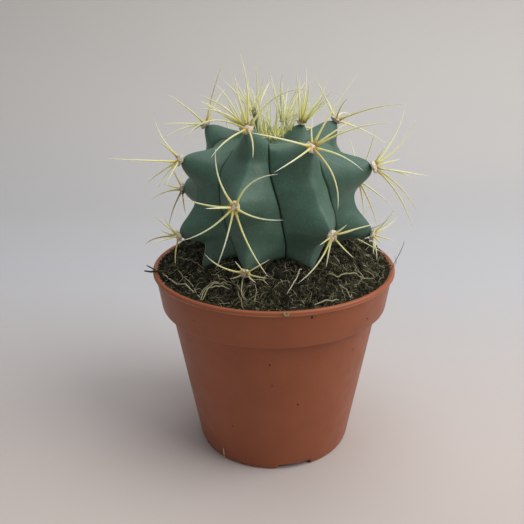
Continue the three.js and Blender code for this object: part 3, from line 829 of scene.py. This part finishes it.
def areole_frame(index):
    """The place on the tubercle's tip, and its axes: the outward, upward and right directions."""
    _, azimuth, elevation, _, _, _ = TUBERCLES[len(BURIED) + index]
    distance = stem_distance(np.array([azimuth]), np.array([elevation]), np.zeros(1))[0]
    away = outward(azimuth)
    rise = np.array([0, 0, 1.0])
    height = STEM_CENTRE_HEIGHT + distance * math.sin(elevation)
    place = away * distance * math.cos(elevation) + rise * height
    out = away * math.cos(elevation) + rise * math.sin(elevation)
    up = rise * math.cos(elevation) - away * math.sin(elevation)
    return place, (out, up, np.cross(up, out))


def usual_spines(number, height, radius):
    """A ring of spines and one in the middle, as the CAD source makes them for the hidden areoles."""
    young = number >= YOUNG_FROM
    spines = []
    for place in range(RADIAL_SPINES):
        clock = place * 360 / RADIAL_SPINES + 25 * (scatter(number, place) - 0.5)
        lean = 18 + 14 * scatter(number, place + 20) if young else 60 + 10 * scatter(number, place + 20)
        low = math.cos(math.radians(clock)) < -0.2
        room = 0.8 * (height - float(soil_height(radius)) - 1.5) if low else math.inf
        spines.append((clock, lean, min(20 + 7 * scatter(number, place + 40), room)))
    spines.append((30, 8, 20))
    return spines


SPINE_SIDES = 8
SPINE_STEPS = 16
PAD_HAIRS = 46
HAIR_RADIUS = 0.055
CROWN_LOBES = 12
LOBE_GAP = 1.7
LOBE_RADIUS = 2.4
LOBE_THICKNESS = 1.2
GOLDEN_ANGLE = 137.5


def add_spine(collector, root, axes, spine, tone, radius=SPINE_RADIUS, ring=ROOT_RING):
    """A curved, tapering spine with a thicker foot. tone is how brown it is."""
    out, up, right = axes
    clock, lean, length = spine[:3]
    bow = spine[3] if len(spine) > 3 else USUAL_BOW * (scatter(clock, length) - 0.5)
    clock_turn, lean_turn = math.radians(clock), math.radians(lean)
    sideways = clock_direction(clock_turn, up, right)
    clockwise = clock_direction(clock_turn, right, -up)
    heading = math.cos(lean_turn) * out + math.sin(lean_turn) * sideways
    share = np.linspace(0, 1, SPINE_STEPS)
    length = length - ring
    path = (root + sideways * ring + heading * (length * share)[:, None]
            - out * (SPINE_BEND * length * share ** 2)[:, None]
            + clockwise * (4 * bow * length * share * (1 - share))[:, None])
    radii = radius * (1 - 0.42 * share) * np.sqrt(np.clip(1 - share ** 3.2, 0.004, 1))
    radii = radii * (1 + 0.7 * np.exp(-(share / 0.08) ** 2))
    points, faces = tube_mesh(path, radii, SPINE_SIDES, twist=clock)
    along = np.concatenate([[0], np.repeat(share, SPINE_SIDES), [1]])
    collector.add(points, faces, along=along, tone=tone)


def add_pad(collector, place, axes, radius, thickness, seed, random):
    """A lumpy felt dome with short hairs."""
    out, up, right = axes
    rows, sides = 9, 24
    turn = np.arange(sides) / sides * 2 * np.pi
    points = []
    for row in range(1, rows):
        tilt = np.pi * row / rows
        level = np.cos(tilt)
        ring = (place + out * thickness * (0.55 + 0.75 * level)
                + radius * np.sin(tilt) * (np.cos(turn)[:, None] * up * 1.15 + np.sin(turn)[:, None] * right))
        points.append(ring)
    points = np.array(points).reshape(-1, 3)
    bumps = 0.35 * smooth_noise(points, 1.1, seed) + 0.2 * smooth_noise(points, 0.5, seed + 1)
    centre = place + out * thickness * 0.5
    away = points - centre
    points = points + away / np.linalg.norm(away, axis=1, keepdims=True) * bumps[:, None]
    top = place + out * thickness * 1.35
    bottom = place - out * thickness * 0.2
    points = np.concatenate([top[None], points, bottom[None]])
    collector.add(points, closed_faces(rows - 1, sides))
    for _ in range(PAD_HAIRS):
        clock = random.uniform(0, 2 * np.pi)
        reach = radius * math.sqrt(random.uniform(0.1, 1.0))
        sideways = clock_direction(clock, up, right)
        root = place + sideways * reach + out * thickness * 0.7 * (1.2 - reach / radius)
        heading = out * random.uniform(0.3, 1.0) + sideways * random.uniform(0.2, 1.1)
        heading += up * random.uniform(-0.5, 0.5) + right * random.uniform(-0.5, 0.5)
        heading = heading / np.linalg.norm(heading)
        length = random.uniform(0.6, 1.5)
        bend = np.cross(heading, out) * random.uniform(-0.6, 0.6)
        share = np.linspace(0, 1, 4)
        path = root + (heading * length) * share[:, None] + bend * (share ** 2)[:, None] * length
        hair, hair_faces = tube_mesh(path, HAIR_RADIUS * (1 - 0.7 * share), 4)
        collector.add(hair, hair_faces)


def make_areoles(spine_skin, wool_skin):
    random = np.random.default_rng(7)
    for index, (number, height, radius) in enumerate(AREOLES):
        place, axes = areole_frame(index)
        root = place + axes[0] * PAD_THICKNESS * 0.8
        spines = Collector("along", "tone")
        rows = SPINES.get(number) or usual_spines(number, height, radius)
        for order, spine in enumerate(rows):
            tone = 0.55 * scatter(number, order + 60) ** 2.5 if number < YOUNG_FROM else 0.05
            tone += 0.2 if number < -1 else 0
            add_spine(spines, root, axes, spine, min(tone, 0.9))
        for extra in range(YOUNG_EXTRA_SPINES if number >= YOUNG_FROM else 0):
            clock = 360 * scatter(number, extra + 80)
            spine = (clock, 6 + 36 * scatter(number, extra + 90), 11 + 10 * scatter(number, extra + 100))
            add_spine(spines, root, axes, spine, 0.0, 0.75 * SPINE_RADIUS)
        label = f"{index + 1:02d}"
        spines.piece(f"areole_spines_{label}", spine_skin, "spine", [f"spine_cluster_{label}"])
        wool = Collector()
        size = 1.0 if number < YOUNG_FROM else 0.75
        add_pad(wool, place, axes, PAD_RADIUS * size, PAD_THICKNESS * size, 20 + index, random)
        wool.piece(f"areole_wool_{label}", wool_skin, "spine")


def make_crown(spine_skin, wool_skin):
    """The youngest spines, upright in a tuft, on a cushion of wool in the middle of the crown."""
    random = np.random.default_rng(11)
    top = stem_distance(np.zeros(1), np.array([np.pi / 2]), np.zeros(1))[0]
    centre = CROWN_PLACE + (0, 0, STEM_CENTRE_HEIGHT + top)
    axes = np.array([(0, 0, 1.0), (0, 1.0, 0), (1.0, 0, 0)])
    spines = Collector("along", "tone")
    for place in range(CROWN_SPINES):
        clock = place * GOLDEN_ANGLE
        spread = math.sqrt((place + 0.5) / CROWN_SPINES)
        root = centre + 0.85 * CROWN_RADIUS * spread * clock_direction(math.radians(clock), *axes[1:])
        length = 11 + 15 * scatter(place, 5)
        spine = (clock + 150 * (scatter(place, 6) - 0.5), 3 + 26 * scatter(place, 7), length)
        add_spine(spines, root, axes, spine, 0.0, 0.24 + 0.1 * scatter(place, 8), 0)
    spines.piece("crown_spine_tuft", spine_skin, "spine", ["crown_spines"])
    wool = Collector()
    for lobe in range(CROWN_LOBES):
        spot = centre + LOBE_GAP * math.sqrt(lobe) * clock_direction(lobe * 2.4, *axes[1:])
        add_pad(wool, spot, axes, LOBE_RADIUS, LOBE_THICKNESS, 60 + lobe, random)
    wool.piece("crown_wool", wool_skin, "spine")


# Soil

def soil_height(radius):
    share = np.clip((SOIL_EDGE_RADIUS - radius) / (SOIL_EDGE_RADIUS - SOIL_MOUND_RADIUS), 0, 1)
    return SOIL_EDGE_HEIGHT + (SOIL_MOUND_HEIGHT - SOIL_EDGE_HEIGHT) * share * share * (3 - 2 * share)


def soil_surface(x, y):
    """Height of the rough soil at each place."""
    flat = np.stack([x, y, np.zeros_like(x)], -1)
    rough = 1.1 * smooth_noise(flat, 8, 31) + 0.7 * smooth_noise(flat, 3.2, 32)
    rough = rough + 0.45 * smooth_noise(flat, 1.4, 33)
    radius = np.hypot(x, y)
    calm = np.clip((SOIL_EDGE_RADIUS - radius) / 4, 0.25, 1)
    behind = np.clip((np.cos(np.arctan2(x, -y) - math.radians(HEAP_AZIMUTH)) - 0.05) / 0.3, 0, 1)
    heap = HEAP_HEIGHT * behind * np.exp(-((radius - HEAP_RADIUS) / HEAP_WIDTH) ** 2)
    return soil_height(radius) + heap + rough * calm


def outside_stem(points, margin=0.2):
    """Whether each point is clear of the stem."""
    up = points[:, 2] - STEM_CENTRE_HEIGHT
    level = np.hypot(points[:, 0], points[:, 1])
    elevation = np.arctan2(up, level)
    azimuth = np.degrees(np.arctan2(points[:, 0], -points[:, 1]))
    skin = stem_distance(azimuth, elevation, groove_share(azimuth, elevation))
    return np.hypot(level, up) > skin + margin


def make_soil(material):
    rings, sides = 96, 420
    radius = np.linspace(1.5, SOIL_EDGE_RADIUS - 0.15, rings)
    azimuth = np.arange(sides) * 360 / sides
    grid = outward(azimuth)[None] * radius[:, None, None]
    grid[..., 2] = soil_surface(grid[..., 0], grid[..., 1])
    floor = FOOT_HEIGHT + WALL + 0.3
    low = outward(azimuth) * (POT_BASE_RADIUS - WALL + 0.1)
    low[:, 2] = floor
    waist = outward(azimuth) * (POT_WALL_TOP_RADIUS - WALL - 0.3)
    waist[:, 2] = POT_HEIGHT - BAND_HEIGHT - 1
    points = np.concatenate([[(0, 0, SOIL_MOUND_HEIGHT)], grid.reshape(-1, 3), waist, low, [(0, 0, floor)]])
    faces = closed_faces(rings + 2, sides, flip=True)
    tone = np.clip(0.35 + 0.35 * smooth_noise(points, 1.1, 35) + 0.2 * smooth_noise(points, 5, 36), 0, 1)
    return make_piece("soil_bed", points, faces, material, ["soil"], {"tone": tone})


def random_spots(random, count):
    """Places spread evenly over the soil outside the stem."""
    spots = []
    while sum(len(found) for found in spots) < count:
        radius = np.sqrt(random.uniform(20 ** 2, (SOIL_EDGE_RADIUS - 0.5) ** 2, count))
        turn = random.uniform(0, 2 * np.pi, count)
        x, y = radius * np.cos(turn), radius * np.sin(turn)
        points = np.stack([x, y, soil_surface(x, y)], -1)
        spots.append(points[outside_stem(points + (0, 0, 0.3))])
    return np.concatenate(spots)[:count]


def unit_crumb():
    """An icosahedron's points and faces."""
    golden = (1 + math.sqrt(5)) / 2
    points = []
    for first in (-1, 1):
        for second in (-golden, golden):
            points += [(first, second, 0), (0, first, second), (second, 0, first)]
    points = np.array(points, float)
    points /= np.linalg.norm(points[0])
    faces = []
    side = 2 / math.sqrt(1 + golden * golden)
    for corners in itertools.combinations(range(12), 3):
        a, b, c = points[list(corners)]
        if max(np.linalg.norm(a - b), np.linalg.norm(b - c), np.linalg.norm(a - c)) < side * 1.01:
            outside = np.dot(np.cross(b - a, c - a), a) > 0
            faces.append(corners if outside else corners[::-1])
    return points, faces


CRUMBS = 8300
RIM_CRUMBS = 1500
FIBRES = 4800

# Crumbs stuck to the outside of the pot: azimuth, height and size.
POT_SPECKS = [
    (16, 80, 0.6), (17.5, 80.6, 0.4), (14.5, 81, 0.3), (-2, 57, 0.3), (14, 36, 0.4), (-38, 74, 0.3),
    (48, 72, 0.35), (-27, 22, 0.3), (97, 76, 0.5), (150, 79, 0.6), (-140, 77, 0.5), (175, 40, 0.35),
]


def make_crumbs(material):
    random = np.random.default_rng(23)
    shape, faces = unit_crumb()
    crumbs = Collector("tone")
    for spot in random_spots(random, CRUMBS):
        size = 0.24 + 0.95 * random.random() ** 3.4
        stretch = random.uniform(0.55, 1.5, 3)
        axes = np.linalg.qr(random.normal(size=(3, 3)))[0]
        jagged = shape * random.uniform(0.7, 1.3, (12, 1))
        lift = random.uniform(-0.2, 0.5)
        if np.linalg.det(axes) < 0:
            axes, lift = -axes, 0.2
        points = (jagged * stretch * size) @ axes.T + spot + (0, 0, size * lift)
        tone = np.clip(random.beta(1.1, 2.8) + (0.45 if random.random() < 0.12 else 0), 0, 1)
        crumbs.add(points, faces, tone=tone * (1.1 - 0.55 * size))
    for _ in range(RIM_CRUMBS):
        size = random.uniform(0.2, 0.5)
        inward = 2.2 * math.sqrt(random.uniform(0.02, 1))
        spot = outward(random.uniform(0, 360)) * (SOIL_EDGE_RADIUS + 0.9 - inward)
        spot[2] = POT_HEIGHT - 0.1 - 0.45 * inward
        points = shape * random.uniform(0.6, 1.3, (12, 1)) * size + spot
        crumbs.add(points, faces, tone=random.beta(1.3, 3.0))
    for azimuth, height, size in POT_SPECKS:
        share = height / (POT_HEIGHT - BAND_HEIGHT - LEDGE_HEIGHT)
        wall = POT_BASE_RADIUS + share * (POT_WALL_TOP_RADIUS - POT_BASE_RADIUS)
        if height > POT_HEIGHT - BAND_HEIGHT:
            wall = BAND_BOTTOM_RADIUS + (height - POT_HEIGHT + BAND_HEIGHT) / BAND_HEIGHT * 2
        spot = outward(azimuth) * wall + np.array([0, 0, height])
        crumbs.add(shape * random.uniform(0.6, 1.3, (12, 1)) * size + spot, faces, tone=0.25)
    return crumbs.piece("soil_crumbs", material, "soil", smooth=False)


def add_fibre(fibres, path, radius, tone, sides=3):
    """A thin root along a path, tapering at both ends."""
    share = np.linspace(0, 1, len(path))
    radii = radius * (0.35 + 0.65 * np.sin(np.pi * np.clip(share, 0.06, 0.94)) ** 0.5)
    points, faces = tube_mesh(path, radii, sides)
    fibres.add(points, faces, tone=tone)


def make_fibres(material):
    random = np.random.default_rng(29)
    fibres = Collector("tone")
    for spot in random_spots(random, FIBRES):
        length = 1.8 + 8.5 * random.random() ** 2.4
        steps = 5 if length < 4 else 8
        heading = random.uniform(0, 2 * np.pi)
        turn = random.normal(0, 0.24, steps).cumsum() + heading
        step = length / (steps - 1)
        x = spot[0] + np.concatenate([[0], (np.cos(turn[1:]) * step).cumsum()])
        y = spot[1] + np.concatenate([[0], (np.sin(turn[1:]) * step).cumsum()])
        if np.hypot(x, y).max() > SOIL_EDGE_RADIUS - 0.6:
            continue
        radius = 0.05 + 0.09 * random.random() ** 2
        lift = random.uniform(0.1, 0.8)
        arch = random.uniform(0, 0.22) * length * np.sin(np.pi * np.linspace(0, 1, steps))
        z = soil_surface(x, y) + lift + arch * (random.random() < 0.35)
        path = np.stack([x, y, z], -1)
        if not outside_stem(path, 0.1).all():
            continue
        tone = np.clip(random.normal(0.36, 0.18) + (0.42 if random.random() < 0.28 else 0), 0, 1)
        add_fibre(fibres, path, radius, tone)
    return fibres.piece("soil_fibres", material, "fibre")


# Roots and twigs on the soil: azimuth and distance from the axis of each point along one, the height of
# its middle above the soil, its thickness and its tone. Each group makes one piece.
ROOTS = [
    [
        ([(-79, 48.8), (-68, 48), (-57, 46.6), (-47, 45.8), (-36, 47.9)], 1.2, 0.42, 0.85),
        ([(-71, 43.5), (-63, 43), (-56, 43.4), (-45, 44.8), (-37, 47.7)], 1.4, 0.24, 0.78),
        ([(-89, 41.8), (-76, 39), (-65, 37.5), (-50, 36.5)], 1.6, 0.30, 0.62),
    ],
    [
        ([(-35, 49.2), (-36, 45.2), (-31, 42.2), (-25, 40.3)], 1.4, 0.40, 0.80),
        ([(-34, 49.4), (-34, 43.4), (-29, 39.9)], 2.0, 0.34, 0.74),
        ([(-37, 48), (-38, 44), (-33, 40.5), (-27, 39)], 1.0, 0.26, 0.84),
        ([(-37, 37), (-33, 39.1), (-29, 39.2), (-25, 37.9)], 1.8, 0.24, 0.70),
        ([(-28, 36.5), (-24, 38.4), (-20, 40.6), (-16, 42.8), (-13, 44.9)], 1.2, 0.46, 0.52),
        ([(-20, 40.6), (-16.5, 45.2), (-13, 49.8)], 1.4, 0.38, 0.56),
        ([(-17, 36), (-18, 38), (-17, 42.2), (-14, 44.6)], 1.6, 0.26, 0.88),
        ([(-14, 37), (-7, 37.4), (-3, 38.2)], 1.0, 0.22, 0.84),
    ],
    [
        ([(21, 31.5), (18, 33.5), (15, 35.6), (10, 39.6), (7, 41.6)], 1.6, 0.30, 0.92),
        ([(21, 37.6), (19, 40), (20, 42.5), (18, 44.5), (19, 46.5), (18, 49.4)], 1.0, 0.28, 0.40),
        ([(17, 47.7), (25, 47.0), (34, 47.2)], 1.0, 0.36, 0.80),
    ],
    [
        ([(36, 36.1), (39, 38.0), (44, 39.2), (53, 41.5), (60, 44)], 1.2, 0.42, 0.70),
        ([(38, 40.7), (39, 44.2), (38, 48.8)], 1.0, 0.28, 0.82),
        ([(67, 38.9), (67, 44.3), (62, 47.7)], 1.4, 0.26, 0.76),
        ([(48, 45), (55, 43.5), (61, 46), (66, 46.8)], 1.0, 0.24, 0.66),
    ],
]
TWIG = [(-73, 46.5), (-74, 49), (-75.5, 51.5), (-75, 53.5), (-76.5, 56)]
TWIG_FORK = [(-75, 51), (-77.5, 53), (-79, 55)]

# Loose hairs and a flake on the pot: azimuth, distance and height along each, thickness and tone.
LOOSE = [
    ([(80, 50.4, 82.5), (80, 51.9, 86), (80, 53.6, 90), (79.5, 54.8, 93.5), (80, 55.5, 96.3)], 0.13, 0.35),
    ([(74, 49.6, 83), (76, 52.2, 86.5), (73, 53, 89.5), (74, 52, 91.5)], 0.09, 0.4),
    ([(-37.7, 35.9, 1.5), (-37.3, 36.4, 4.2), (-37.0, 36.8, 7.0)], 0.2, 0.95),
    ([(3.8, 52.9, 83.9), (4.4, 53.0, 82.7), (5.3, 53.0, 82.4), (6.1, 52.9, 83.2)], 0.42, 0.66),
    ([(-61, 52.4, 84.6), (-59, 53.1, 83), (-58, 52.6, 81.2)], 0.12, 0.5),
    ([(-150, 52.2, 84.8), (-148, 53.2, 83), (-147, 53.0, 80.5), (-146, 52.4, 78)], 0.12, 0.7),
    ([(128, 52, 85), (131, 53.2, 84), (133, 53.4, 82)], 0.16, 0.55),
]


def curve_through(points, steps):
    """A smooth curve through the points (Catmull-Rom)."""
    points = np.asarray(points, float)
    padded = np.concatenate([2 * points[:1] - points[1:2], points, 2 * points[-1:] - points[-2:-1]])
    path = []
    for a, b, c, d in zip(padded, padded[1:], padded[2:], padded[3:]):
        for share in np.arange(steps) / steps:
            path.append(0.5 * (2 * b + (c - a) * share + (2 * a - 5 * b + 4 * c - d) * share ** 2
                               + (3 * b - a - 3 * c + d) * share ** 3))
    return np.array([*path, points[-1]])


def laid_on_soil(route, lift):
    """A smooth path over the soil, arched between its ends."""
    path = curve_through(placed(route), 8)
    share = np.linspace(0, 1, len(path))
    path[:, :2] += 0.2 * np.stack([smooth_noise(path, 3, 51), smooth_noise(path, 3, 52)], -1)
    path[:, 2] = soil_surface(path[:, 0], path[:, 1]) + 0.5 + lift * np.sin(np.pi * share)
    rim = np.clip((np.hypot(path[:, 0], path[:, 1]) - 47) / 3, 0, 1)
    path[:, 2] = np.maximum(path[:, 2], POT_HEIGHT + 0.3 - 2 * (1 - rim))
    return path


def placed(route):
    """Points from rows of azimuth, distance from the axis and, where given, height."""
    return np.array([outward(row[0]) * row[1] + (0, 0, sum(row[2:])) for row in route])


def make_long_roots(material):
    for number, roots in enumerate(ROOTS, 1):
        fibres = Collector("tone")
        for route, lift, radius, tone in roots:
            add_fibre(fibres, laid_on_soil(route, lift), 0.8 * radius, tone, 7)
        fibres.piece(f"long_root_{number}", material, "fibre", [f"root_fibre_{number}"])
    twig = Collector("tone")
    path = curve_through(placed(TWIG), 6)
    path[:, 2] = POT_HEIGHT + 0.8 + 0.2 * smooth_noise(path, 2, 45)
    add_fibre(twig, path, 0.5, 0.12, 8)
    fork = curve_through(placed(TWIG_FORK), 5)
    fork[:, 2] = POT_HEIGHT + 0.8 + np.linspace(0, 1.6, len(fork))
    add_fibre(twig, fork, 0.3, 0.1, 6)
    twig.piece("rim_twig", material, "fibre", ["twig"])
    loose = Collector("tone")
    for route, radius, tone in LOOSE:
        add_fibre(loose, curve_through(placed(route), 5), radius, tone, 6)
    loose.piece("loose_hairs", material, "fibre")


make_camera()
make_lights()
make_floor()
make_pot(pot_material())
make_soil(soil_material("peat", (0.004, 0.004, 0.002), (0.020, 0.018, 0.010), (0.12, 0.11, 0.06)))
make_crumbs(soil_material("peat_crumbs", (0.006, 0.006, 0.003), (0.064, 0.060, 0.033), (0.43, 0.41, 0.25)))
fibre_skin = fibre_material()
make_fibres(fibre_skin)
make_long_roots(fibre_skin)
make_stem(stem_material())
spine_skin = spine_material()
wool_skin = wool_material()
make_areoles(spine_skin, wool_skin)
make_crown(spine_skin, wool_skin)
